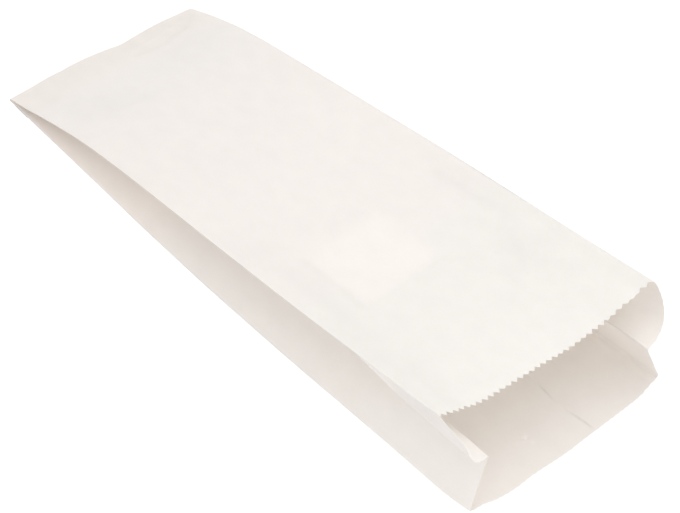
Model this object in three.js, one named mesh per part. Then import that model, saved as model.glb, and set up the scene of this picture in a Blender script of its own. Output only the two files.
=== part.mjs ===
// A plain white paper food bag with side gussets, lying on its back panel.
// The near end is open, with the back panel longer than the front one, and the far end is glued shut.
// The whole bag is one sheet of paper: one closed body with an open inside.
// Millimetres. X runs across the bag, Y along it (mouth towards -Y) and +Z is up.
import * as THREE from 'three';

// Driving sizes of the folded bag
const BAG_LENGTH = 350;          // back panel, from the mouth to the closed end
const PANEL_WIDTH = 120;         // front and back panel between their side folds
const GUSSET_HALF = 30;          // each gusset is two strips of this width, folded inward
const LIP_LEFT = 23;             // the front panel starts this far behind the back panel's edge
const LIP_RIGHT = 15.5;
const BACK_CUT_BOW = 1.4;        // the back panel's cut edge bulges forward by this much at mid width
const SEAL_LENGTH = 12;          // glued band at the closed end, where no inside is left
const WALL = 0.4;                // stand-in thickness of the paper
const LAYER_PITCH = 0.7;         // layer to layer where the gussets are pressed flat

// How the bag stands open
const END_HEIGHT_GAIN = 10.5;    // quick rise of the front panel next to the closed end
const END_RISE_LENGTH = 35;      // length over which most of that rise happens
const LEFT_SLOPE = 0.103;        // steady rise of the front panel's side folds towards the mouth
const RIGHT_SLOPE = 0.12;
const MOUTH_SPREAD = 1;          // each side fold of the front panel stands out this far at the mouth
const FRONT_SAG = 11.5;          // the front panel's middle hangs below its folds at the mouth
const FRONT_SAG_FADE = 110;      // length over which that sag fades
const FRONT_SAG_POWER = 3;       // more than 2 keeps the hollow wide and its sides steep

// How the back panel lies
const CORNER_LIFT = 7;           // the mouth's lower corners curl up from the floor
const CORNER_LIFT_LENGTH = 125;  // the side folds come down to the floor over this length
const CORNER_LIFT_POWER = 1.5;
const FLAT_HALF_WIDTH = 30;      // the middle strip that lies on the floor
const FLAT_END = 225;            // beyond this the closed end curves up
const END_LIFT = 5.6;            // height of the closed end above the floor
const END_LIFT_POWER = 1.3;      // 1 would be a straight ramp
const SIDE_BOW = 1.2;            // the side folds bow outward at mid length

// How the gussets open at the mouth
const OPENING_LENGTH = 60;       // the mouth's own shape fades over this length
const LEFT_MOUTH = { creaseOut: 12.3, creaseUp: 5.3, bulge: 3 };
const RIGHT_MOUTH = { creaseOut: 4.5, creaseUp: 0.6, bulge: 16 };

// Divisions
const PANEL_STEPS = [-1, -0.86, -0.7, -0.5, -0.25, 0, 0.25, 0.5, 0.7, 0.86, 1];
const LOWER_STEPS = [0.5];
const UPPER_STEPS = [0.2, 0.4, 0.6, 0.8];
const ROWS = [0, 6, 14, 24, 36, 48, OPENING_LENGTH, 80, 105, 135, 165, 195, FLAT_END,
  243, 260, 276, 291, 305, 318, 329, BAG_LENGTH - SEAL_LENGTH, BAG_LENGTH];
const LIP_SPREAD = 100;          // the rows even out the lip over this length

const LEFT = -1;
const RIGHT = 1;
const HALF_WIDTH = PANEL_WIDTH / 2;
const HINGE = LAYER_PITCH / 2;
const FLAT_STACK = 3 * LAYER_PITCH;
const SEAL_ROW = ROWS.length - 2;

const mix = (a, b, share) => a + (b - a) * share;
const along = (from, to, share) => [mix(from[0], to[0], share), mix(from[1], to[1], share)];
const add = (point, direction, length) => [point[0] + direction[0] * length, point[1] + direction[1] * length];

function direction(from, to) {
  const across = to[0] - from[0];
  const up = to[1] - from[1];
  const length = Math.hypot(across, up);
  return [across / length, up / length];
}

function between(first, second) {
  return direction([0, 0], add(first, second, 1));
}

// How much of the mouth's own shape is left at a place y behind the back panel's edge
function openingShare(y) {
  const left = Math.max(0, 1 - y / OPENING_LENGTH);
  return left * left;
}

// The closed end's gentle curve up from the floor, the same across the whole width
function endLift(y) {
  const past = Math.max(0, y - FLAT_END) / (BAG_LENGTH - FLAT_END);
  return END_LIFT * past ** END_LIFT_POWER;
}

// Height of the back panel's side folds above the middle strip
function cornerLift(y) {
  const left = Math.max(0, 1 - y / CORNER_LIFT_LENGTH);
  return CORNER_LIFT * left ** CORNER_LIFT_POWER;
}

function sideBow(y) {
  return SIDE_BOW * Math.sin(Math.PI * y / BAG_LENGTH) ** 2;
}

// Lower side fold, where the back panel meets a gusset
function lowerFold(side, y) {
  return [side * (HALF_WIDTH + sideBow(y)), WALL / 2 + endLift(y) + cornerLift(y)];
}

// Upper side fold, where the front panel meets a gusset
function upperFold(side, y) {
  const fromEnd = BAG_LENGTH - y;
  const slope = side === LEFT ? LEFT_SLOPE : RIGHT_SLOPE;
  const rise = END_HEIGHT_GAIN * (1 - Math.exp(-fromEnd / END_RISE_LENGTH)) + slope * fromEnd;
  const spread = MOUTH_SPREAD * fromEnd / BAG_LENGTH;
  return [side * (HALF_WIDTH + spread), WALL / 2 + END_LIFT + FLAT_STACK + rise];
}

// The gusset's middle crease points inward, as deep as its two strips allow for the height there
function crease(side, y) {
  const lower = lowerFold(side, y);
  const upper = upperFold(side, y);
  const height = upper[1] - lower[1];
  const rise = (height - FLAT_STACK) / 2;
  const depth = Math.sqrt(GUSSET_HALF ** 2 - rise ** 2);
  const mouth = side === LEFT ? LEFT_MOUTH : RIGHT_MOUTH;
  const share = openingShare(y);
  const across = HALF_WIDTH - depth + mouth.creaseOut * share;
  return [side * across, lower[1] + height / 2 + mouth.creaseUp * share];
}

function backPanel(y) {
  const left = lowerFold(LEFT, y);
  const right = lowerFold(RIGHT, y);
  return PANEL_STEPS.map((step) => {
    const across = mix(left[0], right[0], (step + 1) / 2);
    const past = Math.max(0, Math.abs(step) * HALF_WIDTH - FLAT_HALF_WIDTH) / (HALF_WIDTH - FLAT_HALF_WIDTH);
    return [across, WALL / 2 + endLift(y) + cornerLift(y) * past ** 2];
  });
}

function frontPanel(y) {
  const left = upperFold(LEFT, y);
  const right = upperFold(RIGHT, y);
  const sag = FRONT_SAG * Math.exp(-y / FRONT_SAG_FADE) * (1 - (y / BAG_LENGTH) ** 2);
  const points = PANEL_STEPS.map((step) => {
    const point = along(left, right, (step + 1) / 2);
    return [point[0], point[1] - sag * (1 - Math.abs(step) ** FRONT_SAG_POWER)];
  });
  return points.reverse();
}

// One gusset from its lower fold to its upper fold, both left out. Every fold is a short hinge,
// as wide as the layers' pitch, so that the layers lie side by side where the bag is flat.
function gusset(side, y) {
  const lower = lowerFold(side, y);
  const middle = crease(side, y);
  const upper = upperFold(side, y);
  const rising = direction(lower, middle);
  const returning = direction(middle, upper);
  const lowerEnd = add(lower, between([side, 0], rising), 2 * HINGE);
  const creaseTurn = between(rising, returning);
  const creaseBelow = add(middle, creaseTurn, -HINGE);
  const creaseAbove = add(middle, creaseTurn, HINGE);
  const upperEnd = add(upper, between(returning, [-side, 0]), -2 * HINGE);
  const outward = [side * returning[1], -side * returning[0]];
  const bulge = (side === LEFT ? LEFT_MOUTH : RIGHT_MOUTH).bulge * openingShare(y);
  const lowerStrip = LOWER_STEPS.map((step) => along(lowerEnd, creaseBelow, step));
  const upperStrip = UPPER_STEPS.map((step) => {
    const point = along(creaseAbove, upperEnd, step);
    return add(point, outward, 4 * bulge * step * (1 - step));
  });
  return [lowerEnd, ...lowerStrip, creaseBelow, creaseAbove, ...upperStrip, upperEnd];
}

// The whole section at y, as one loop through the middle of the paper
function section(y) {
  const right = gusset(RIGHT, y);
  const left = gusset(LEFT, y).reverse();
  return [...backPanel(y), ...right, ...frontPanel(y), ...left];
}

// Where each line of the section begins: the front panel behind the lip, the gussets' upper
// strips on a slant from there to the crease, and the rest at the back panel's edge.
function cutLine() {
  const back = PANEL_STEPS.map((step) => BACK_CUT_BOW * step ** 2);
  const front = PANEL_STEPS.map((step) => mix(LIP_LEFT, LIP_RIGHT, (step + 1) / 2));
  const strip = (lip) => [0, ...LOWER_STEPS.map(() => 0), 0, 0, ...UPPER_STEPS.map((step) => lip * step), lip]
    .map((start) => mix(BACK_CUT_BOW, 0, start / lip) + start);
  return [...back, ...strip(LIP_RIGHT), ...front.reverse(), ...strip(LIP_LEFT).reverse()];
}

// Moves a loop sideways by a distance, keeping its corners on the bisectors
function offsetLoop(loop, distance) {
  return loop.map((point, index) => {
    const before = loop[(index + loop.length - 1) % loop.length];
    const after = loop[(index + 1) % loop.length];
    const arriving = direction(before, point);
    const leaving = direction(point, after);
    const normal = between([arriving[1], -arriving[0]], [leaving[1], -leaving[0]]);
    const stretch = normal[0] * leaving[1] - normal[1] * leaving[0];
    return add(point, normal, distance / stretch);
  });
}

// Rows of points along the bag, for the outer or the inner face of the paper
function faceRows(rows, distance) {
  const starts = cutLine();
  return rows.map((row) => starts.map((start, column) => {
    const y = row + start * Math.max(0, 1 - row / LIP_SPREAD);
    const point = offsetLoop(section(y), distance)[column];
    return [point[0], y - BAG_LENGTH / 2, point[1]];
  }));
}

// The outer and inner faces, the rim between them at the mouth, and the two walls of the closed end
function bagGeometry() {
  const outer = faceRows(ROWS, WALL / 2);
  const inner = faceRows(ROWS.slice(0, SEAL_ROW + 1), -WALL / 2);
  const columns = outer[0].length;
  const points = [...outer.flat(), ...inner.flat()];
  const innerStart = outer.length * columns;
  const triangles = [];
  const quad = (a, b, c, d) => triangles.push(a, b, c, a, c, d);

  for (let column = 0; column < columns; column += 1) {
    const next = (column + 1) % columns;
    for (let row = 0; row + 1 < outer.length; row += 1) {
      const near = row * columns;
      const far = near + columns;
      quad(near + column, far + column, far + next, near + next);
    }
    for (let row = 0; row + 1 < inner.length; row += 1) {
      const near = innerStart + row * columns;
      const far = near + columns;
      quad(near + column, near + next, far + next, far + column);
    }
    quad(column, next, innerStart + next, innerStart + column);
  }

  const closeLoop = (start, facingMouth) => {
    const contour = points.slice(start, start + columns).map((point) => new THREE.Vector2(point[0], point[2]));
    for (const [a, b, c] of THREE.ShapeUtils.triangulateShape(contour, [])) {
      triangles.push(start + a, start + (facingMouth ? b : c), start + (facingMouth ? c : b));
    }
  };
  closeLoop((outer.length - 1) * columns, false);
  closeLoop(innerStart + (inner.length - 1) * columns, true);

  const geometry = new THREE.BufferGeometry();
  geometry.setAttribute('position', new THREE.Float32BufferAttribute(points.flat(), 3));
  geometry.setIndex(triangles);
  geometry.computeVertexNormals();
  return geometry;
}

// The origin is the middle of the footprint, on the floor
function centredOnFootprint(geometry) {
  geometry.computeBoundingBox();
  const { min, max } = geometry.boundingBox;
  geometry.translate(-(min.x + max.x) / 2, -(min.y + max.y) / 2, -min.z);
  return geometry;
}

const paper = new THREE.MeshStandardMaterial({ color: 0xf4f1ea, roughness: 0.9, metalness: 0 });
const bag = new THREE.Mesh(centredOnFootprint(bagGeometry()), paper);
bag.name = 'bag';

const group = new THREE.Group();
group.add(bag);

export default group;
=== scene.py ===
import math
import bpy
from mathutils import Matrix, Vector


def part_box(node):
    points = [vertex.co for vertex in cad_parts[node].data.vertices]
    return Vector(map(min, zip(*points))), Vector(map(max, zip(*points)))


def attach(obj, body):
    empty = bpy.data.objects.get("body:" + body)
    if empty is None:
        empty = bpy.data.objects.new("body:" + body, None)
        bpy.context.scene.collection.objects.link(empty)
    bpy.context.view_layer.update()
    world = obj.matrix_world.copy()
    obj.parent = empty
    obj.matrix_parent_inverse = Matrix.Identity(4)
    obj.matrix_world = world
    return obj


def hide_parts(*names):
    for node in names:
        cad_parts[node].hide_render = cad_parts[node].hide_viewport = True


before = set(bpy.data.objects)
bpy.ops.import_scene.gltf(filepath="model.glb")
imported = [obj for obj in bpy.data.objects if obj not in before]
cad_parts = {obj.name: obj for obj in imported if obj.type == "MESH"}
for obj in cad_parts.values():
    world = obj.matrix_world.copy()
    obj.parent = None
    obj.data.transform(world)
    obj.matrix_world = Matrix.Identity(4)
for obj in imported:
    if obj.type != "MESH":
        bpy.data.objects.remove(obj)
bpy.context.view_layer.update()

# A plain white paper food bag with side gussets. It lies on its back panel with its mouth open
# towards -Y, and its far end is turned under and glued. It is one sheet of paper, lofted along Y
# from sections through the two panels and the four gusset strips.
# Sizes are millimetres until a mesh is made. "Across" runs over the bag from its middle, and
# "behind" runs along it from the back panel's cut edge at the mouth. A table of pairs is a smooth
# line through a few stations, which through() reads.
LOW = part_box("bag")[0]
MM = 0.001
LEFT, RIGHT = -1, 1

# Flat sizes of the sheet
BAG_LENGTH = 350.0
HALF_WIDTH = 60.0        # half of a panel, from its middle to a side fold
STRIP_WIDTH = 30.0       # each gusset is two strips of this width
PAPER = 0.12             # thickness of one layer
LAYER = 0.14             # from layer to layer where they are pressed together
# How many layers lie below each part of the flat bag
STACK = {"lower fold": 0.5, "lower strip": 1, "crease": 1.5, "upper strip": 2, "upper fold": 2.5,
         "front": 3}
END_FLAP = 15.0          # turned under and glued at the closed end
FOLD_HINGE = 0.35        # the first column beside a sharp fold stands this far from it
FOLD_RADIUS = [(0, 4.0), (40, 3.5), (120, 1.0), (350, 0.6)]  # the right gusset's soft lower fold
FOLD_SWELL = 0.55        # how far that fold reaches out into its corner

# Where the sheet lies in the shared frame
LEFT_REACH = 61.64       # from the folded bag's middle line to the left side of its box
FOLD_CENTRE = LOW[0] / MM + LEFT_REACH
MOUTH = LOW[1] / MM
TABLE_GAP = 0.09         # between the lowest layer and the table

# The cut at the mouth, as distances behind the back panel's foremost point
FRONT_CUT = [(-60, 24.0), (55, 15.6), (60, 13.6)]
BACK_CUT = [(-60, 1.4), (-30, 0.4), (0, 0.0), (30, 0.3), (60, 1.0)]
UPPER_STRIP_CUT = {
    LEFT: [(0, 2.9), (3, 3.0), (9, 3.6), (12, 4.8), (15, 6.2), (18, 7.0), (21, 9.0), (24, 13.4),
           (27.5, 20.6), (30, 24.0)],
    RIGHT: [(0, 1.0), (25, 12.8), (30, 13.6)],
}
CUT_FADE = 100.0         # the sheet's rows even out the cut over this length
TOOTH_PITCH = 2 * HALF_WIDTH / 36
TOOTH_DEPTH = 1.7
TOOTH_UNEVENNESS = 0.3
# How much of a tooth's full depth each edge shows
TOOTH_SHARE = {"front": 1.0, "worn": 0.35, "upper fold": 0.3, "back": 0.24, "upper strip": 0.15,
               "round fold": 0.15, "lower strip": 0.12}
# One tooth of the front panel is nearly gone: its place across, and its reach
WORN_TOOTH, WORN_REACH = 50.0, 2.0

# The slight cockle of loose paper
COCKLE_SIZE = 22.0
COCKLE_HEIGHT = 0.35
COCKLE_DETAIL = 1.5
COCKLE_STRETCH = 0.6     # it is longer along the bag than round it
SEED = 7                 # of the teeth's unevenness

# Heights of the front panel's side folds above the table: (behind, height)
UPPER_FOLD = {
    LEFT: [(0, 52.9), (12, 51.3), (24, 49.4), (35, 47.5), (50, 46.1), (80, 42.6), (112, 39.0), (160, 34.6),
           (200, 31.3), (240, 28.2), (269, 25.1), (290, 21.8), (305, 18.4), (320, 14.6), (336, 10.1),
           (350, 6.8)],
    RIGHT: [(0, 61.7), (26, 58.6), (63, 54.0), (101, 49.7), (141, 45.0), (184, 39.3), (229, 33.0),
            (270, 27.1), (294, 23.2), (311, 19.6), (330, 13.9), (350, 6.8)],
}
# Lift of the back panel's side folds, its rise to the closed end, and the outward bow of its sides
LOWER_LIFT = {
    LEFT: [(0, 7.0), (5, 5.9), (14, 4.9), (27, 4.3), (40, 3.7), (54, 3.1), (68, 2.4), (82, 1.8), (96, 1.1),
           (111, 0.5), (125, 0.2), (145, 0)],
    RIGHT: [(0, 7.2), (14, 6.0), (30, 4.8), (54, 3.2), (82, 1.7), (111, 0.5), (145, 0)],
}
BACK_RISE = [(225, 0), (250, 0.7), (275, 1.8), (300, 3.1), (325, 4.2), (340, 5.1), (350, 6.31)]
SIDE_BOW = {
    LEFT: [(0, 0.0), (18, 0.7), (40, 0.5), (70, 0.3), (120, 0.4), (180, 0.9), (220, 0.5), (260, 0)],
    RIGHT: [(0, 0)],
}

# The closed end is not quite straight: (across, height)
END_WAVE = [(-60, 0), (-48, 0.7), (-35, 1.8), (-27, 1.8), (-20, 2.2), (-10, 2.0), (3, 0.8), (12, -0.4),
            (24, 0.6), (38, 1.3), (50, 0.8), (60, 0.3)]
END_WAVE_LENGTH = 60.0
END_WAVE_POWER = 1.5

# Shapes across the panels at the mouth, and how they die away behind it
LIP_LIFT = [(-60, 0), (-53, 4.2), (-44, 1.6), (-33, 0.1), (-22, 1.2), (-12, 0.9), (0, 0.2), (14, 0.9),
            (26, 1.2), (38, 1.3), (50, 1.6), (56, 3.4), (60, 0)]
LIP_LIFT_LENGTH = 110.0
LIP_LIFT_POWER = 1.6
CORNER_START = 44.0      # from here outwards the back panel turns up to its side folds
FRONT_SAG = [(-60, 0), (-50, 4.5), (-38, 9.1), (-25, 10.5), (-11, 11.0), (2, 11.8), (15, 12.3), (27, 11.1),
             (38, 8.9), (47, 5.2), (54, 3.2), (60, 0)]
FRONT_SAG_ALONG = [(0, 1.2), (20, 1.0), (50, 0.76), (80, 0.57), (110, 0.42), (150, 0.26), (200, 0.13),
                   (260, 0.04), (320, 0)]

# How each gusset stands at the mouth: its lower strip's angle in degrees, and where that ends
CREASE_ANGLE = {
    LEFT: [(0, 73.5), (5, 70.5), (10, 68.4), (16, 67.0), (24, 66.9), (36, 67.6)],
    RIGHT: [(0, 64.2), (6, 65.0), (12, 65.3), (20, 66.4), (30, 67.0)],
}
CREASE_FADE = {LEFT: (30, 90), RIGHT: (0, 50)}
# The left upper strip leaves its crease nearly level, turns up at a knee, and stands up to its fold
KNEE_ACROSS = [(0, -59.5), (24, -60.2)]
KNEE_HEIGHT = [(0, 34.5), (10, 35.5), (24, 36.3)]
KNEE_FADE = (40, 130)
KNEE_SHARE = 0.4         # beyond the fade the knee lies this far from the crease to the fold
KNEE_STEPS = 24
# The right upper strip bows outward, more below its middle and with full ends
STRIP_BOW = [(0, 12.0), (15, 11.3), (30, 8.4), (60, 3.6), (100, 1.2), (160, 0)]
STRIP_SKEW, STRIP_SQUARE = -0.2, 0.3

# The glued seam inside the back panel: the upper layer's free edge and how far it stands up
SEAM_EDGE = [(0, 18.8), (4, 18.5), (10, 18.1), (17, 17.5), (25, 17.3), (32, 17.9), (38, 18.6), (50, 18.8)]
SEAM_OVERLAP = 12.0
SEAM_THINNING = 3.0      # the double layer thins out over this width
SEAM_STEP = [(0, 0.02), (3, 0.1), (7, 0.34), (13, 0.34), (17, 0.03), (25, 0.02), (27.5, 0.2), (34.5, 0.22),
             (37, 0.02), (60, 0)]
# Columns on the upper layer: distance from its free edge, share of the edge's rise, and lift
SEAM_COLUMNS = [(0.0, 1.0, 0.0), (0.5, 0.96, 0.0), (1.6, 0.6, 0.04), (3.2, 0.15, 0.07)]
UNDER_SEAM_COLUMNS = [-1.1, -0.15]
SEAM_CLEARANCE = 3.2     # even columns stop this far short of the free edge
SEAM_END = 23.4          # and start again here, beyond the seam's own columns

# Where the sheet's points lie close together
TURN_SHARES = [-1, -0.7, -0.4, -0.15, 0.15, 0.4, 0.7, 1]     # round the soft fold
TURN_CLEARANCE = 0.6     # even columns keep this far from the soft fold
MOUTH_ROWS = [0.0, 2.5, 4.6, 6.8, 9.0, 11.2]
BEAD_ROWS_END = 22.0     # fine rows run up to here, past the beads of paste
BEAD_ROW_STEP = 0.6
ROW_STEP = 2.3
END_ROWS_START = 324.0   # from here the rows are closer, for the closed end's folds
END_ROW_STEP = 0.9
LAST_ROW_GAP = 1.2
BEAD_ZONE = (-15.5, -5.5)  # columns are four times as close across the beads
TURN_ANGLES = [45, 90, 135, 180]  # rows round the closed end's fold, in degrees
TURN_ROW_STEP = 0.3      # their distance along the sheet
FLAP_ROWS = [2.5, 6, 10.5, END_FLAP]

# Faint folds pressed into the front panel: ends (across, behind), width, depth, and the painted shade along
# the fold (painted light where it is positive)
SOFT_FOLDS = [
    ((8, 332), (26, 328), 1.1, -0.30, -1.4), ((26, 328), (42, 332.5), 1.1, -0.40, -1.8),
    ((42, 332.5), (56, 343), 1.6, -0.22, -0.9), ((12, 337), (44, 338.5), 1.4, 0.25, 0.7),
    ((-31, 314), (-35, 296), 2.2, -0.25, -1.0), ((-32, 295), (-14, 293.5), 2.2, -0.30, -1.0),
    ((-36, 142), (-36, 101), 2.0, -0.28, -0.7), ((-36, 101), (9, 100), 2.2, -0.22, -0.5),
    ((9, 100), (26, 84), 2.2, -0.2, -0.5), ((47, 143), (48, 104), 2.6, -0.30, -0.8),
    ((44, 87), (32, 67), 2.2, -0.22, -0.7), ((25, 74), (24, 50), 2.0, -0.2, -0.6),
]
MARK_REACH = 3.0         # a fold marks the paper up to so many of its widths away
# Folds and dents die away this close to the sides and to the closed end
SIDE_MARGIN, END_MARGIN = 8.0, 12.0
# Soft dents and swellings: place, reach across and along, height
SOFT_DENTS = [
    ((22, 318), 16, 14, -0.9), ((-30, 305), 14, 12, -0.8), ((5, 285), 22, 18, 0.6),
    ((-14, 120), 24, 20, 0.5), ((38, 240), 14, 26, 0.5), ((-40, 215), 14, 30, -0.5),
    ((10, 190), 30, 24, -0.5), ((50, 120), 7, 24, -0.4),
]
# Painted shade and light in slow soft patches on the front panel: place, reach across and along, strength
PAINTED_LIGHT_PATCHES = [
    ((24, 316), 22, 14, -0.7), ((-36, 306), 16, 12, -0.7), ((-6, 296), 26, 20, -0.4),
    ((51, 118), 6, 28, -0.7), ((40, 76), 8, 20, -0.6), ((-48, 160), 9, 20, -0.6),
    ((-46, 118), 9, 26, -0.9), ((-50, 50), 12, 40, -0.9), ((38, 225), 12, 34, 0.3),
    ((0, 35), 30, 20, 0.1),
]
PALE_AREA_LIGHT = 1.3          # painted light over the area where a layer inside lies against the front panel
# Zones of painted light and shade, and of warmer or cooler colour, among them a painted warm shade in the
# gussets' far half and a painted cooler light at the mouth: strength, and spans across, behind the mouth
# or up from the crease, each from where the zone sets in to where it is full
ZONES = {
    "pale area": (1.0, ("across", -35.5, -32.5), ("across", 16, 6), ("behind", 98, 101),
                  ("behind", 147, 136)),
    "front, far half": (-0.5, ("behind", 190, 240)),
    "front, closed end": (-0.45, ("behind", 230, 320)),
    "back, lip": (-0.9, ("behind", 36, 14)),
    "back, right side": (-0.7, ("across", 0, 30)),
    "back, left fold": (0.8, ("across", -28, -46), ("behind", 15, 30), ("behind", 120, 80)),
    "right gusset, high inside": (-0.6, ("up", 13, 21), ("behind", 70, 40)),
    "right gusset, under its crease": (1.0, ("behind", 8, 20), ("behind", 80, 45)),
    "left gusset": (0.5, ("behind", 50, 90)),
    "left gusset, far half": (0.45, ("behind", 205, 240)),
    "left gusset, standing part": (-1.7, ("up", 9, 12), ("behind", 70, 45)),
    "warmer gusset": (0.3, ("behind", 205, 240)),
    "warmer closed end": (0.4, ("behind", 318, 342)),
    "cooler before the closed end": (-0.15, ("behind", 275, 295), ("behind", 328, 314)),
    "cooler mouth": (-0.5, ("behind", 132, 98)),
}
LIP_MIDDLE, LIP_REACH = -6.0, 28.0  # the painted shade along the lip is strongest here, and reaches so far
# Painted light along the left gusset: its strongest place and reach, and its strength on the lower and the
# upper strip
PAINTED_LIGHT_PLACE, PAINTED_LIGHT_REACH = 68.0, 18.0
PAINTED_LIGHT_LOWER, PAINTED_LIGHT_UPPER = 0.4, 0.9
# A small bead of dried paste and its fainter neighbours inside the back panel: place, size, height
PASTE_BEADS = [((-8.7, 18.7), 1.2, 0.6), ((-10.3, 18.5), 0.9, -0.3), ((-7.8, 14.4), 1.3, 0.2),
               ((-13.4, 18.0), 1.3, 0.12)]
BEAD_STEEPNESS = 1.5     # higher gives a bead a flatter top and steeper sides
# The paste's height also paints its colour: a painted highlight on the beads and a painted shadow in the
# hollow beside the main bead
BEAD_LIGHT_AND_SHADOW = 2.8
PASTED_LENGTH = 60.0     # the paper next to the closed end is held, so it doesn't cockle

# Warmth of the colour, from 0 (cool) to 1 (warm)
NEUTRAL = 0.5
WARM_END = 1.0           # the turned and glued flap

# The finish
WHITE = (1.0, 1.0, 1.0, 1)
PAPER_SHADES = [(0.1, (0.873, 0.850, 0.827, 1)), (0.9, (0.957, 0.932, 0.907, 1))]
PAPER_TINTS = [(0, (0.985, 0.998, 0.998, 1)), (NEUTRAL, WHITE), (1, (1.0, 0.983, 0.972, 1))]
LIGHT_THROUGH = (0.97, 0.94, 0.905, 1)
SEE_THROUGH = 0.28       # share of the light that passes through
ROUGHNESS, SHINE = 0.72, 0.25
# The paper's clouds and fibres: size of the noise, its detail, and its stretch along the bag
CLOUDS = 130, 4, 0.6
FIBRES = 1400, 3, 0.3
FIBRE_SHARE = 0.4
# How strongly the painted light and shade, the painted highlight along the folds and the paste's painted
# highlight and shadow change the paper's colour
PAINTED_LIGHT_STRENGTH, FOLD_HIGHLIGHT_STRENGTH, BEAD_LIGHT_STRENGTH = 0.22, 0.12, 0.5
BUMP_STRENGTH, BUMP_DEPTH = 0.25, 0.2  # the depth is in millimetres

# Light, in watts, and the table. The sizes and places here are metres.
SKY = 0.94
SOFTBOX = 6
SOFTBOX_SIZE = 1.6
SOFTBOX_PLACE = (0.1, 0.1, 1.4)
TABLE_REACH = 4.0
TABLE_GLOW = 0.945
TABLE_WHITE = 0.1
TABLE_ROUGHNESS = 0.9

# The camera: where it looks from, in degrees and metres, and what it looks at, in millimetres
BEARING, HEIGHT, ROLL = -42.68, 45.612, 2.246
DISTANCE = 0.956385
AIM = (0.351, -16.966, 0)
LENS, SENSOR = 103.12, 36
NEAREST, FARTHEST = 0.05, 50
LIGHT_BOUNCES = 24       # light reaches deep into the bag only after many bounces


def through(stations, place):
    """A smooth line through a few stations, level beyond its ends."""
    if place <= stations[0][0]:
        return stations[0][1]
    if place >= stations[-1][0]:
        return stations[-1][1]
    last = len(stations) - 1
    i = next(k for k in range(last) if place <= stations[k + 1][0])
    (x0, y0), (x1, y1) = stations[i], stations[i + 1]

    def slope(k):
        a, b = stations[max(k - 1, 0)], stations[min(k + 1, last)]
        return (b[1] - a[1]) / (b[0] - a[0])

    width = x1 - x0
    t = (place - x0) / width
    return ((2 * t**3 - 3 * t**2 + 1) * y0 + (t**3 - 2 * t**2 + t) * width * slope(i)
            + (3 * t**2 - 2 * t**3) * y1 + (t**3 - t**2) * width * slope(i + 1))


def mix(a, b, share):
    return a + (b - a) * share


def smooth(start, end, place):
    """From 0 at the start to 1 at the end, level beyond them. Either may be the larger one."""
    t = min(1.0, max(0.0, (place - start) / (end - start)))
    return t * t * (3 - 2 * t)


def bell(middle, reach, place):
    return math.exp(-((place - middle) / reach) ** 2)


def zone(name, **place):
    """How strong a zone is at a place."""
    strength, *spans = ZONES[name]
    for way, start, end in spans:
        strength *= smooth(start, end, place[way])
    return strength


# ---- the bag's section at a place behind the mouth ----

def end_wave(across, behind):
    """The closed end's waviness dies away over a short length."""
    fade = smooth(BAG_LENGTH - END_WAVE_LENGTH, BAG_LENGTH, behind) ** END_WAVE_POWER
    return through(END_WAVE, across) * fade


def back_height(across, behind):
    """The back panel lies on the table, its side folds lift at the mouth, and its far end curves up."""
    side = LEFT if across < 0 else RIGHT
    past = max(0.0, abs(across) - CORNER_START) / (HALF_WIDTH - CORNER_START)
    corner = through(LOWER_LIFT[side], behind) * past ** 2
    lip = through(LIP_LIFT, across) * max(0.0, 1 - behind / LIP_LIFT_LENGTH) ** LIP_LIFT_POWER
    lip *= 1 - past ** 2
    return TABLE_GAP + PAPER / 2 + through(BACK_RISE, behind) + corner + lip + end_wave(across, behind)


def lower_fold(side, behind):
    """Where the back panel turns into a gusset."""
    return side * (HALF_WIDTH + through(SIDE_BOW[side], behind)), back_height(side * HALF_WIDTH, behind)


def stacked(part):
    """Height of a part over the lowest layer where all of them are pressed together."""
    return STACK[part] * LAYER


def upper_fold(side, behind):
    """Where a gusset turns into the front panel, without the layers below it."""
    lift = end_wave(side * HALF_WIDTH, behind)
    return side * HALF_WIDTH, through(UPPER_FOLD[side], behind) - stacked("front") + lift


def crease(side, behind):
    """The gusset's middle crease stands one strip's width from the lower fold."""
    x, z = lower_fold(side, behind)
    rise = min(1.0, max(0.0, (upper_fold(side, behind)[1] - z) / 2 / STRIP_WIDTH))
    start, end = CREASE_FADE[side]
    open_angle = math.radians(through(CREASE_ANGLE[side], behind))
    angle = mix(open_angle, math.asin(rise), smooth(start, end, behind))
    x -= side * STRIP_WIDTH * math.cos(angle)
    return x, z + STRIP_WIDTH * math.sin(angle) + inner_wave(x, side, behind)


def inner_wave(across, side, behind):
    """Where the layers are pressed flat, the strips follow the panels' waviness."""
    return end_wave(across, behind) - end_wave(side * HALF_WIDTH, behind)


def back_point(across, behind):
    left, right = lower_fold(LEFT, behind)[0], lower_fold(RIGHT, behind)[0]
    return mix(left, right, (across / HALF_WIDTH + 1) / 2), back_height(across, behind)


def fold_mark(fold, across, behind):
    """How strongly a soft fold marks a place, from 0 to 1."""
    (ax, ay), (bx, by), width = fold[:3]
    dx, dy = bx - ax, by - ay
    t = min(1.0, max(0.0, ((across - ax) * dx + (behind - ay) * dy) / (dx * dx + dy * dy)))
    gap = math.hypot(across - ax - dx * t, behind - ay - dy * t)
    return bell(0, width, gap) if gap < MARK_REACH * width else 0.0


def soft_relief(across, behind):
    """The front panel's faint folds and dents."""
    height = sum(fold[3] * fold_mark(fold, across, behind) for fold in SOFT_FOLDS)
    for (x, y), wide, long, lift in SOFT_DENTS:
        height += lift * math.exp(-((across - x) / wide) ** 2 - ((behind - y) / long) ** 2)
    height *= smooth(BAG_LENGTH, BAG_LENGTH - END_MARGIN, behind)
    return height * smooth(HALF_WIDTH, HALF_WIDTH - SIDE_MARGIN, abs(across))


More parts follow.
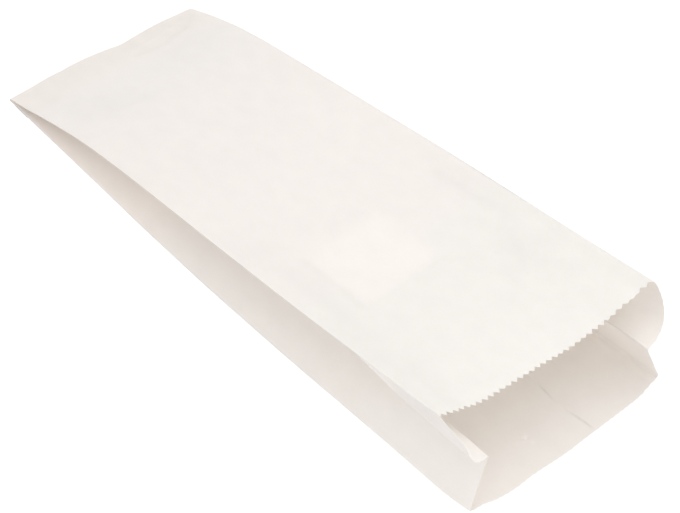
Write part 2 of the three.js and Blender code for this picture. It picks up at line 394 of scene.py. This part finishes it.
def front_point(across, behind):
    """The front panel hangs between its side folds, deepest at the mouth."""
    (x0, z0), (x1, z1) = upper_fold(LEFT, behind), upper_fold(RIGHT, behind)
    share = (across / HALF_WIDTH + 1) / 2
    sag = through(FRONT_SAG, across) * through(FRONT_SAG_ALONG, behind)
    wave = end_wave(across, behind) - mix(end_wave(-HALF_WIDTH, behind), end_wave(HALF_WIDTH, behind), share)
    return mix(x0, x1, share), mix(z0, z1, share) - sag + wave + soft_relief(across, behind)


def lower_strip_point(side, reach, behind):
    """A place on the gusset's lower strip, by its distance from the lower fold."""
    a, b, t = lower_fold(side, behind), crease(side, behind), reach / STRIP_WIDTH
    return mix(a[0], b[0], t), mix(a[1], b[1], t)


def round_fold_point(side, share, behind):
    """A place on the soft turn from the back panel into the lower strip, from -1 to 1 across the turn."""
    radius = through(FOLD_RADIUS, behind)
    a = back_point(side * (HALF_WIDTH - radius), behind)
    b = lower_strip_point(side, radius, behind)
    k = lower_fold(side, behind)
    t = (share + 1) / 2

    def turn(i):
        corner = k[i] + FOLD_SWELL * (k[i] - (a[i] + b[i]) / 2)
        return (1 - t) ** 2 * a[i] + 2 * t * (1 - t) * corner + t ** 2 * b[i]
    return turn(0), turn(1)


def knee_curve(behind):
    """Points with their distances along the left upper strip's section, from its crease to its fold."""
    c, f = crease(LEFT, behind), upper_fold(LEFT, behind)
    fade = smooth(*KNEE_FADE, behind)
    k = (mix(through(KNEE_ACROSS, behind), mix(c[0], f[0], KNEE_SHARE), fade),
         mix(through(KNEE_HEIGHT, behind), mix(c[1], f[1], KNEE_SHARE), fade))
    curve, run = [(c, 0.0)], 0.0
    for step in range(1, KNEE_STEPS + 1):
        t = step / KNEE_STEPS
        place = tuple((1 - t) ** 3 * c[i] + 3 * t * (1 - t) * k[i] + t ** 3 * f[i] for i in (0, 1))
        run += math.dist(curve[-1][0], place)
        curve.append((place, run))
    return curve


def left_strip_point(reach, behind):
    """The left upper strip follows its knee curve."""
    curve = knee_curve(behind)
    run = reach / STRIP_WIDTH * curve[-1][1]
    return tuple(through([(d, p[i]) for p, d in curve], run) for i in (0, 1))


def right_strip_point(reach, behind):
    """The right upper strip bows outward from the straight line between its crease and its fold."""
    a, b = crease(RIGHT, behind), upper_fold(RIGHT, behind)
    across, up = b[0] - a[0], b[1] - a[1]
    length, u = math.hypot(across, up), 2 * reach / STRIP_WIDTH - 1
    bow = through(STRIP_BOW, behind) * (1 - u * u) * (1 + STRIP_SKEW * u + STRIP_SQUARE * u * u)
    share = reach / STRIP_WIDTH
    return mix(a[0], b[0], share) + up / length * bow, mix(a[1], b[1], share) - across / length * bow


def upper_strip_point(side, reach, behind):
    """A place on the gusset's upper strip, by its distance from the crease."""
    return left_strip_point(reach, behind) if side == LEFT else right_strip_point(reach, behind)


# ---- the sheet's columns, in order round the bag ----

def spread(length, step):
    """Places between two folds, with one close to each fold so that the fold stays crisp."""
    count = round(length / step)
    return [FOLD_HINGE] + [length * k / count for k in range(1, count)] + [length - FOLD_HINGE]


def column(point, around, lift, cut, tooth=0.0, fold=0.0, thick=0.0, part="", across=0.0,
           shade=lambda behind: 0.0):
    """One line of the sheet's points from the mouth to the closed end.

    point gives its place in the section at a distance behind the mouth, around its place round the
    sheet, lift its height in the stack of layers, cut where it starts, and tooth its share of a tooth.
    thick is 1 where the paper is double, shade is the painted light and shade on it, 0 being none, and
    fold is 1 on a fold, which gets a painted highlight.
    """
    return dict(point=point, around=around, lift=lift, cut=cut, tooth=tooth, fold=fold, thick=thick,
                part=part, across=across, shade=shade)


def seam_place(offset):
    """A line that follows the seam's free edge at a distance."""
    return lambda y: through(SEAM_EDGE, y) + offset


def back_column(across, around, lift=0.0, step_share=0.0, thick=0.0):
    """A column on the back panel. across is a number, or a function of the place behind the mouth."""
    if callable(across):
        near = across(0)

        def point(y):
            x, z = back_point(across(y), y)
            return x, z + through(SEAM_STEP, y) * step_share
    else:
        near = across

        def point(y):
            return back_point(across, y)
    return column(point, around, lift, through(BACK_CUT, near), tooth=TOOTH_SHARE["back"], thick=thick,
                  part="back", across=near, shade=lambda y: back_painted_shade(near, y))


def back_painted_shade(across, behind):
    """Painted shade inside the back panel along its lip and at its right side, and painted light at its left
    fold.
    """
    lip = zone("back, lip", behind=behind) * bell(LIP_MIDDLE, LIP_REACH, across)
    left = zone("back, left fold", across=across, behind=behind)
    return zone("back, right side", across=across) + lip + left


def strip_painted_shade(side, reach, behind):
    """Painted light and shade on a gusset strip. reach is the distance from the crease, or 0 on the lower
    strip.

    The right gusset gets painted light under its crease and painted shade high inside the mouth. The left
    one gets painted light along its length and painted shade on its standing part at the mouth.
    """
    if side == RIGHT and reach:
        return zone("right gusset, high inside", up=reach, behind=behind)
    if side == RIGHT:
        return zone("right gusset, under its crease", behind=behind)
    painted_light_peak = (PAINTED_LIGHT_UPPER if reach else PAINTED_LIGHT_LOWER) * bell(PAINTED_LIGHT_PLACE, PAINTED_LIGHT_REACH, behind)
    painted_light_along = zone("left gusset", behind=behind) + zone("left gusset, far half", behind=behind)
    return painted_light_along + painted_light_peak + zone("left gusset, standing part", up=reach, behind=behind)


def gusset_columns(side, around, step, first=0.0):
    """One gusset from its lower fold to its upper fold, both left out, with its crease."""
    start, crease_cut = through(BACK_CUT, side * HALF_WIDTH), UPPER_STRIP_CUT[side][0][1]
    out = []
    for s in spread(STRIP_WIDTH, step):
        if s > first:
            out.append(column(lambda y, s=s: lower_strip_point(side, s, y), around + s,
                              stacked("lower strip"), mix(start, crease_cut, s / STRIP_WIDTH),
                              tooth=TOOTH_SHARE["lower strip"], part="strip",
                              shade=lambda y: strip_painted_shade(side, 0.0, y)))
    out.append(column(lambda y: crease(side, y), around + STRIP_WIDTH, stacked("crease"), crease_cut,
                      fold=1, part="strip"))
    for s in spread(STRIP_WIDTH, step):
        out.append(column(lambda y, s=s: upper_strip_point(side, s, y), around + STRIP_WIDTH + s,
                          stacked("upper strip"), through(UPPER_STRIP_CUT[side], s),
                          tooth=TOOTH_SHARE["upper strip"], part="strip",
                          shade=lambda y, s=s: strip_painted_shade(side, s, y)))
    return out


def seam_columns(step):
    """The back panel's upper layer, from its free edge at the seam to the right fold."""
    edge = SEAM_EDGE[0][1]
    out = [back_column(seam_place(offset), edge + offset, lift, share, 1.0)
           for offset, share, lift in SEAM_COLUMNS]
    place = SEAM_END
    while place < HALF_WIDTH - FOLD_RADIUS[0][1] - TURN_CLEARANCE:
        over = 1 - smooth(edge + SEAM_OVERLAP, edge + SEAM_OVERLAP + SEAM_THINNING, place)
        out.append(back_column(place, place, LAYER / 2 * over, thick=over))
        place += step
    return out


def soft_fold_columns(around):
    """The soft turn from the back panel into the right gusset."""
    radius, cut = FOLD_RADIUS[0][1], through(BACK_CUT, HALF_WIDTH)
    return [column(lambda y, t=share: round_fold_point(RIGHT, t, y), around + share * radius,
                   LAYER * (1 + share) / 2, cut, tooth=TOOTH_SHARE["round fold"]) for share in TURN_SHARES]


def upper_fold_column(side, around):
    return column(lambda y: upper_fold(side, y), around, stacked("upper fold"),
                  through(FRONT_CUT, side * HALF_WIDTH), tooth=TOOTH_SHARE["upper fold"], fold=1)


def front_columns(around, step):
    """The front panel between its side folds, from right to left."""
    out = []
    for s in spread(2 * HALF_WIDTH, step):
        across = HALF_WIDTH - s
        tooth = TOOTH_SHARE["worn" if abs(across - WORN_TOOTH) < WORN_REACH else "front"]
        out.append(column(lambda y, a=across: front_point(a, y), around + s, stacked("front"),
                          through(FRONT_CUT, across), tooth=tooth, part="front", across=across))
    return out


def under_layer_columns(around, step):
    """The back panel's lower layer, from the left fold to the seam. around is its middle's place."""
    edge = SEAM_EDGE[0][1]
    out = [back_column(-HALF_WIDTH + FOLD_HINGE, around - HALF_WIDTH + FOLD_HINGE)]
    place = -HALF_WIDTH + step
    while place < edge - SEAM_CLEARANCE:
        out.append(back_column(place, around + place))
        place += step / 4 if BEAD_ZONE[0] < place < BEAD_ZONE[1] else step
    return out + [back_column(seam_place(offset), around + edge + offset) for offset in UNDER_SEAM_COLUMNS]


def columns():
    """All columns once round the sheet, from the seam's free edge and back to it."""
    step = TOOTH_PITCH / 2
    right, gusset = HALF_WIDTH, 2 * STRIP_WIDTH
    front = right + gusset
    left = front + 2 * HALF_WIDTH
    out = seam_columns(step) + soft_fold_columns(right)
    out += gusset_columns(RIGHT, right, step, first=FOLD_RADIUS[0][1] + TURN_CLEARANCE)
    out += [upper_fold_column(RIGHT, front)] + front_columns(front, step)
    out += [upper_fold_column(LEFT, left)]
    for c in reversed(gusset_columns(LEFT, 0, step)):
        c["around"] = left + gusset - c["around"]
        out.append(c)
    back = left + gusset
    out.append(column(lambda y: lower_fold(LEFT, y), back, stacked("lower fold"),
                      through(BACK_CUT, -HALF_WIDTH), fold=1))
    return out + under_layer_columns(back + HALF_WIDTH, step)


def row_places():
    """Places of the sheet's rows along it, closer at the paste and at the closed end."""
    rows = list(MOUTH_ROWS)
    while rows[-1] < BEAD_ROWS_END:
        rows.append(rows[-1] + BEAD_ROW_STEP)
    while rows[-1] < BAG_LENGTH - 2:
        rows.append(rows[-1] + (END_ROW_STEP if rows[-1] > END_ROWS_START else ROW_STEP))
    return rows[:-1] + [BAG_LENGTH - LAST_ROW_GAP, BAG_LENGTH]


def paste_bead(across, behind):
    """Height of the dried paste, with a small hollow beside its main bead."""
    height = 0.0
    for (x, y), size, lift in PASTE_BEADS:
        gap = ((across - x) ** 2 + (behind - y) ** 2) / size ** 2
        height += lift * math.exp(-gap ** BEAD_STEEPNESS)
    return height


def front_painted_light_at(across, behind):
    """Painted light and shade on the front panel: painted shade towards the closed end, painted shade and
    light in patches and along the soft folds, and painted light over the pale area.
    """
    painted_light = zone("front, far half", behind=behind) + zone("front, closed end", behind=behind)
    painted_light += PALE_AREA_LIGHT * painted_light_area(across, behind)
    for (x, y), wide, long, strength in PAINTED_LIGHT_PATCHES:
        painted_light += strength * math.exp(-((across - x) / wide) ** 2 - ((behind - y) / long) ** 2)
    return painted_light + sum(fold[4] * fold_mark(fold, across, behind) for fold in SOFT_FOLDS)


def painted_light_area(across, behind):
    """1 inside the area of painted light and 0 outside, with edges that are softer to the right and the back.
    """
    return zone("pale area", across=across, behind=behind)


def warmth_at(part, across, behind):
    """How warm the colour is. The gussets get a painted warm shade in their far half; elsewhere it is warmer
    at the closed end and a little cooler before it, and the front panel gets a painted cooler light at the
    mouth, outside the pale area.
    """
    if part == "strip":
        return NEUTRAL + zone("warmer gusset", behind=behind)
    warmth = NEUTRAL + zone("warmer closed end", behind=behind)
    warmth += zone("cooler before the closed end", behind=behind)
    if part == "front":
        warmth += zone("cooler mouth", behind=behind) * (1 - painted_light_area(across, behind))
    return warmth


def mark(mesh, name, values):
    """Keeps one number for each point of the mesh under a name."""
    mesh.attributes.new(name, "FLOAT", "POINT").data.foreach_set("value", values)


def main_rows(cols, rows):
    """The sheet's points from the mouth to the closed end, with what each of them shows."""
    points, along = [], []
    marks = {"painted_light": [], "loose": [], "bead": [], "warmth": []}
    for row in rows:
        for c in cols:
            behind = row + c["cut"] * max(0.0, 1 - row / CUT_FADE)
            x, z = c["point"](behind)
            raised = paste_bead(c["across"], behind) if c["part"] == "back" else 0.0
            points.append((x, behind, z + c["lift"] + raised))
            along.append(behind)
            free = smooth(BAG_LENGTH, BAG_LENGTH - PASTED_LENGTH, behind)
            # painted light and shade: the front panel's from its own function, each other column's from its
            # shade
            marks["painted_light"].append(front_painted_light_at(c["across"], behind) if c["part"] == "front" else c["shade"](behind))
            marks["loose"].append(free if c["part"] in ("front", "strip") else 0.0)
            # a painted highlight on the paste beads and a painted shadow in the hollow beside them
            marks["bead"].append(max(-1.0, min(1.0, raised * BEAD_LIGHT_AND_SHADOW)))
            marks["warmth"].append(warmth_at(c["part"], c["across"], behind))
    return points, along, marks


def turned_rows(cols):
    """The closed end: all layers turn under together, and their flap lies against the back panel."""
    points, along = [], []
    ends = [c["point"](BAG_LENGTH) for c in cols]
    for turn, degrees in enumerate(TURN_ANGLES, 1):
        angle = math.radians(degrees)
        for c, (x, z) in zip(cols, ends):
            depth = c["lift"] + LAYER / 2
            points.append((x, BAG_LENGTH + depth * math.sin(angle), z - LAYER / 2 + depth * math.cos(angle)))
            along.append(BAG_LENGTH + turn * TURN_ROW_STEP)
    for flap in FLAP_ROWS:
        for c, (x, _) in zip(cols, ends):
            bottom = back_height(max(-HALF_WIDTH, min(HALF_WIDTH, x)), BAG_LENGTH - flap)
            points.append((x, BAG_LENGTH - flap, bottom - LAYER - c["lift"]))
            along.append(BAG_LENGTH + len(TURN_ANGLES) * TURN_ROW_STEP + flap)
    return points, along


def flat_map(mesh, cols, along, total):
    """The sheet's own map, in metres round it and along it."""
    n, coords = len(cols), []
    whole = 4 * HALF_WIDTH + 4 * STRIP_WIDTH
    for r in range(total - 1):
        for c in range(n):
            for rr, cc in ((r, c), (r + 1, c), (r + 1, c + 1), (r, c + 1)):
                wrap = whole if cc == n else 0
                coords += [(cols[cc % n]["around"] + wrap) * MM, along[rr * n + cc % n] * MM]
    mesh.uv_layers.new(name="sheet").data.foreach_set("uv", coords)


def sheet_mesh():
    """The sheet as one closed tube of points, ending in the flap that is turned under and glued."""
    cols, rows = columns(), row_places()
    points, along, marks = main_rows(cols, rows)
    more, more_along = turned_rows(cols)
    points, along = points + more, along + more_along
    n, total = len(cols), len(points) // len(cols)
    faces = [(r * n + c, (r + 1) * n + c, (r + 1) * n + (c + 1) % n, r * n + (c + 1) % n)
             for r in range(total - 1) for c in range(n)]
    mesh = bpy.data.meshes.new("sheet")
    mesh.from_pydata([((x + FOLD_CENTRE) * MM, (y + MOUTH) * MM, z * MM) for x, y, z in points], [], faces)
    mesh.polygons.foreach_set("use_smooth", [True] * len(faces))
    mark(mesh, "around", [c["around"] for _ in range(total) for c in cols])
    mark(mesh, "along", along)
    mark(mesh, "tooth", [c["tooth"] if r == 0 else 0.0 for r in range(total) for c in cols])
    # a painted highlight along the folds
    mark(mesh, "fold", [float(c["fold"]) for _ in range(total) for c in cols])
    mark(mesh, "thick", [c["thick"] for _ in range(total) for c in cols])
    for name, values in marks.items():
        mark(mesh, name, values + [WARM_END if name == "warmth" else 0.0] * len(more))
    flat_map(mesh, cols, along, total)
    return mesh


# ---- Geometry Nodes ----

CUT_INPUTS = [("Tooth Pitch", TOOTH_PITCH), ("Tooth Depth", TOOTH_DEPTH * MM),
              ("Unevenness", TOOTH_UNEVENNESS), ("Cockle Size", COCKLE_SIZE),
              ("Cockle Height", COCKLE_HEIGHT * MM)]


def socket_id(tree, name):
    """A modifier knows a node group's input by its identifier."""
    return next(i.identifier for i in tree.interface.items_tree if i.name == name and i.in_out == "INPUT")


def number(tree, operation, *values):
    """A Math node fed by numbers or sockets."""
    node = tree.nodes.new("ShaderNodeMath")
    node.operation = operation
    for socket, value in zip(node.inputs, values):
        if isinstance(value, (int, float)):
            socket.default_value = value
        else:
            tree.links.new(value, socket)
    return node.outputs[0]


def named(tree, name):
    """One of the numbers that the mesh keeps for each of its points."""
    node = tree.nodes.new("GeometryNodeInputNamedAttribute")
    node.data_type = "FLOAT"
    node.inputs["Name"].default_value = name
    return node.outputs["Attribute"]


def toothed_cut_tree(paper):
    """Cuts the sheet's front edge into triangular teeth, and lets the loose paper cockle a little."""
    tree = bpy.data.node_groups.new("toothed cut", "GeometryNodeTree")
    face, nodes, links = tree.interface, tree.nodes, tree.links
    face.new_socket("Geometry", in_out="INPUT", socket_type="NodeSocketGeometry")
    for name, value in CUT_INPUTS:
        face.new_socket(name, in_out="INPUT", socket_type="NodeSocketFloat").default_value = value
    face.new_socket("Seed", in_out="INPUT", socket_type="NodeSocketInt").default_value = SEED
    face.new_socket("Geometry", in_out="OUTPUT", socket_type="NodeSocketGeometry")
    start, end = nodes.new("NodeGroupInput"), nodes.new("NodeGroupOutput")

    # the teeth: a zigzag round the sheet, each point of it a little uneven
    half = number(tree, "DIVIDE", start.outputs["Tooth Pitch"], 2)
    wave = number(tree, "DIVIDE", number(tree, "PINGPONG", named(tree, "around"), half), half)
    uneven = nodes.new("FunctionNodeRandomValue")
    uneven.data_type = "FLOAT"
    uneven.inputs["Min"].default_value = -0.5
    uneven.inputs["Max"].default_value = 0.5
    links.new(start.outputs["Seed"], uneven.inputs["Seed"])
    chance = next(o for o in uneven.outputs if o.type == "VALUE" and o.enabled)
    chance = number(tree, "MULTIPLY", chance, start.outputs["Unevenness"])
    depth = number(tree, "MULTIPLY", start.outputs["Tooth Depth"], named(tree, "tooth"))
    cut = nodes.new("ShaderNodeCombineXYZ")
    links.new(number(tree, "MULTIPLY", depth, number(tree, "ADD", wave, chance)), cut.inputs["Y"])

    # the cockle: soft noise on the flat sheet, longer along the bag, that moves loose paper outward
    flat = nodes.new("ShaderNodeCombineXYZ")
    links.new(named(tree, "around"), flat.inputs["X"])
    links.new(number(tree, "MULTIPLY", named(tree, "along"), COCKLE_STRETCH), flat.inputs["Y"])
    cockle = nodes.new("ShaderNodeTexNoise")
    cockle.inputs["Detail"].default_value = COCKLE_DETAIL
    links.new(flat.outputs[0], cockle.inputs["Vector"])
    links.new(number(tree, "DIVIDE", 1, start.outputs["Cockle Size"]), cockle.inputs["Scale"])
    height = number(tree, "MULTIPLY", number(tree, "SUBTRACT", cockle.outputs[0], 0.5), 2)
    height = number(tree, "MULTIPLY", height, start.outputs["Cockle Height"])
    outward = nodes.new("ShaderNodeVectorMath")
    outward.operation = "SCALE"
    links.new(nodes.new("GeometryNodeInputNormal").outputs[0], outward.inputs[0])
    links.new(number(tree, "MULTIPLY", height, named(tree, "loose")), outward.inputs["Scale"])

    both = nodes.new("ShaderNodeVectorMath")
    links.new(cut.outputs[0], both.inputs[0])
    links.new(outward.outputs[0], both.inputs[1])
    place = nodes.new("GeometryNodeSetPosition")
    links.new(start.outputs["Geometry"], place.inputs["Geometry"])
    links.new(both.outputs[0], place.inputs["Offset"])
    realize = nodes.new("GeometryNodeRealizeInstances")
    finish = nodes.new("GeometryNodeSetMaterial")
    finish.inputs["Material"].default_value = paper
    links.new(place.outputs[0], realize.inputs[0])
    links.new(realize.outputs[0], finish.inputs["Geometry"])
    links.new(finish.outputs[0], end.inputs[0])
    return tree


def plain_mesh(piece):
    """Turns a piece's evaluated shape into its own mesh, without the modifier."""
    bpy.context.view_layer.update()
    depsgraph = bpy.context.evaluated_depsgraph_get()
    made = bpy.data.meshes.new_from_object(piece.evaluated_get(depsgraph), depsgraph=depsgraph)
    piece.modifiers.clear()
    old, piece.data = piece.data, made
    bpy.data.meshes.remove(old)


# ---- the paper ----

def noise(tree, scale, detail, stretch):
    """Noise on the flat sheet, stretched along the bag."""
    place = tree.nodes.new("ShaderNodeUVMap")
    place.uv_map = "sheet"
    mapping = tree.nodes.new("ShaderNodeMapping")
    mapping.inputs["Scale"].default_value = (1, stretch, 1)
    tree.links.new(place.outputs["UV"], mapping.inputs["Vector"])
    node = tree.nodes.new("ShaderNodeTexNoise")
    node.inputs["Scale"].default_value = scale
    node.inputs["Detail"].default_value = detail
    tree.links.new(mapping.outputs[0], node.inputs["Vector"])
    return node.outputs[0]


def ramp(tree, factor, stops):
    """Colours between a few stops."""
    node = tree.nodes.new("ShaderNodeValToRGB")
    elements = node.color_ramp.elements
    while len(elements) < len(stops):
        elements.new(0.5)
    for element, (place, colour) in zip(elements, stops):
        element.position, element.color = place, colour
    tree.links.new(factor, node.inputs["Fac"])
    return node.outputs["Color"]


def point_value(tree, name):
    node = tree.nodes.new("ShaderNodeAttribute")
    node.attribute_name = name
    return node.outputs["Fac"]


def paper_colour(tree, grain):
    """Colour from the grain, the painted light and shade, the painted highlight along the folds and the
    paste's painted highlight and shadow, with the warm or cool tint over it.
    """
    white = grain
    for name, strength in (("painted_light", PAINTED_LIGHT_STRENGTH), ("fold", FOLD_HIGHLIGHT_STRENGTH), ("bead", BEAD_LIGHT_STRENGTH)):
        white = number(tree, "MULTIPLY_ADD", point_value(tree, name), strength, white)
    shades = ramp(tree, white, PAPER_SHADES)
    tint = ramp(tree, point_value(tree, "warmth"), PAPER_TINTS)
    tinted = tree.nodes.new("ShaderNodeMix")
    tinted.data_type, tinted.blend_type = "RGBA", "MULTIPLY"
    tinted.inputs[0].default_value = 1.0
    tree.links.new(shades, tinted.inputs[6])
    tree.links.new(tint, tinted.inputs[7])
    return tinted.outputs[2]


def white_paper():
    """Bleached paper: cloudy, with fine fibres along the web, and thin enough for light to pass."""
    material = bpy.data.materials.new("white bag paper")
    material.use_nodes = True
    tree = material.node_tree
    nodes, links = tree.nodes, tree.links
    shader = nodes["Principled BSDF"]
    shader.inputs["Roughness"].default_value = ROUGHNESS
    shader.inputs["Specular IOR Level"].default_value = SHINE
    grain = nodes.new("ShaderNodeMix")
    grain.data_type = "FLOAT"
    grain.inputs[0].default_value = FIBRE_SHARE
    links.new(noise(tree, *CLOUDS), grain.inputs[2])
    links.new(noise(tree, *FIBRES), grain.inputs[3])
    links.new(paper_colour(tree, grain.outputs[0]), shader.inputs["Base Color"])
    bump = nodes.new("ShaderNodeBump")
    bump.inputs["Strength"].default_value = BUMP_STRENGTH
    bump.inputs["Distance"].default_value = BUMP_DEPTH * MM
    links.new(grain.outputs[0], bump.inputs["Height"])
    links.new(bump.outputs["Normal"], shader.inputs["Normal"])
    glow = nodes.new("ShaderNodeBsdfTranslucent")
    glow.inputs["Color"].default_value = LIGHT_THROUGH
    thin = nodes.new("ShaderNodeMixShader")
    thin.inputs["Fac"].default_value = SEE_THROUGH
    links.new(shader.outputs[0], thin.inputs[1])
    links.new(glow.outputs[0], thin.inputs[2])
    links.new(thin.outputs[0], nodes["Material Output"].inputs["Surface"])
    return material


def keep_edges_crisp(mesh):
    """The sheet's own edges stay sharp when it gets its thickness."""
    uses = {}
    for polygon in mesh.polygons:
        for key in polygon.edge_keys:
            uses[key] = uses.get(key, 0) + 1
    sharp = mesh.attributes.get("sharp_edge") or mesh.attributes.new("sharp_edge", "BOOLEAN", "EDGE")
    sharp.data.foreach_set("value", [uses.get(tuple(sorted(e.vertices)), 0) == 1 for e in mesh.edges])


def thicken(piece):
    """Gives the sheet its thickness, which is double at the seam."""
    layers = piece.vertex_groups.new(name="paper layers")
    single = PAPER / (PAPER + LAYER)
    for index, value in enumerate(piece.data.attributes["thick"].data):
        layers.add([index], mix(single, 1.0, value.value), "REPLACE")
    thick = piece.modifiers.new("paper thickness", "SOLIDIFY")
    thick.thickness = (PAPER + LAYER) * MM
    thick.vertex_group = layers.name
    thick.offset = 0


def paper_bag():
    """The whole bag, one sheet of paper with a toothed cut."""
    piece = bpy.data.objects.new("paper_bag", sheet_mesh())
    bpy.context.scene.collection.objects.link(piece)
    tree = toothed_cut_tree(white_paper())
    modifier = piece.modifiers.new("toothed cut", "NODES")
    modifier.node_group = tree
    for name, value in CUT_INPUTS:
        modifier[socket_id(tree, name)] = value
    plain_mesh(piece)
    keep_edges_crisp(piece.data)
    thicken(piece)
    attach(piece, "root")
    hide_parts("bag")


# ---- the studio ----

def floor():
    """A white table that glows softly, so that the bag casts almost no shadow on it."""
    mesh = bpy.data.meshes.new("floor")
    corners = [(x * TABLE_REACH, y * TABLE_REACH, 0) for x, y in ((-1, -1), (1, -1), (1, 1), (-1, 1))]
    mesh.from_pydata(corners, [], [(0, 1, 2, 3)])
    piece = bpy.data.objects.new("floor", mesh)
    bpy.context.scene.collection.objects.link(piece)
    material = bpy.data.materials.new("white table")
    material.use_nodes = True
    shader = material.node_tree.nodes["Principled BSDF"]
    shader.inputs["Base Color"].default_value = (TABLE_WHITE, TABLE_WHITE, TABLE_WHITE, 1)
    shader.inputs["Roughness"].default_value = TABLE_ROUGHNESS
    shader.inputs["Emission Color"].default_value = WHITE
    shader.inputs["Emission Strength"].default_value = TABLE_GLOW
    mesh.materials.append(material)


def light():
    """An even white sky and one soft box overhead."""
    world = bpy.data.worlds.new("studio")
    world.use_nodes = True
    world.node_tree.nodes["Background"].inputs["Color"].default_value = WHITE
    world.node_tree.nodes["Background"].inputs["Strength"].default_value = SKY
    bpy.context.scene.world = world
    lamp = bpy.data.lights.new("softbox", "AREA")
    lamp.shape = "RECTANGLE"
    lamp.size, lamp.size_y = SOFTBOX_SIZE, SOFTBOX_SIZE
    lamp.energy = SOFTBOX
    box = bpy.data.objects.new("softbox", lamp)
    box.location = SOFTBOX_PLACE
    bpy.context.scene.collection.objects.link(box)


def camera():
    """A long lens from above the mouth's left side, rolled a little."""
    bearing, height, roll = math.radians(BEARING), math.radians(HEIGHT), math.radians(ROLL)
    back = Vector((math.sin(bearing) * math.cos(height), -math.cos(bearing) * math.cos(height),
                   math.sin(height)))
    level = Vector((math.cos(bearing), math.sin(bearing), 0))
    up = back.cross(level)
    right = level * math.cos(roll) + up * math.sin(roll)
    up = up * math.cos(roll) - level * math.sin(roll)
    lens = bpy.data.cameras.new("camera")
    lens.lens, lens.sensor_width = LENS, SENSOR
    lens.clip_start, lens.clip_end = NEAREST, FARTHEST
    piece = bpy.data.objects.new("camera", lens)
    turn = Matrix((right, up, back)).transposed().to_4x4()
    piece.matrix_world = Matrix.Translation(Vector(AIM) * MM + back * DISTANCE) @ turn
    scene = bpy.context.scene
    scene.collection.objects.link(piece)
    scene.camera = piece
    scene.view_settings.view_transform = "Standard"
    scene.cycles.max_bounces = LIGHT_BOUNCES
    scene.cycles.diffuse_bounces = LIGHT_BOUNCES // 2


camera()
light()
floor()
paper_bag()
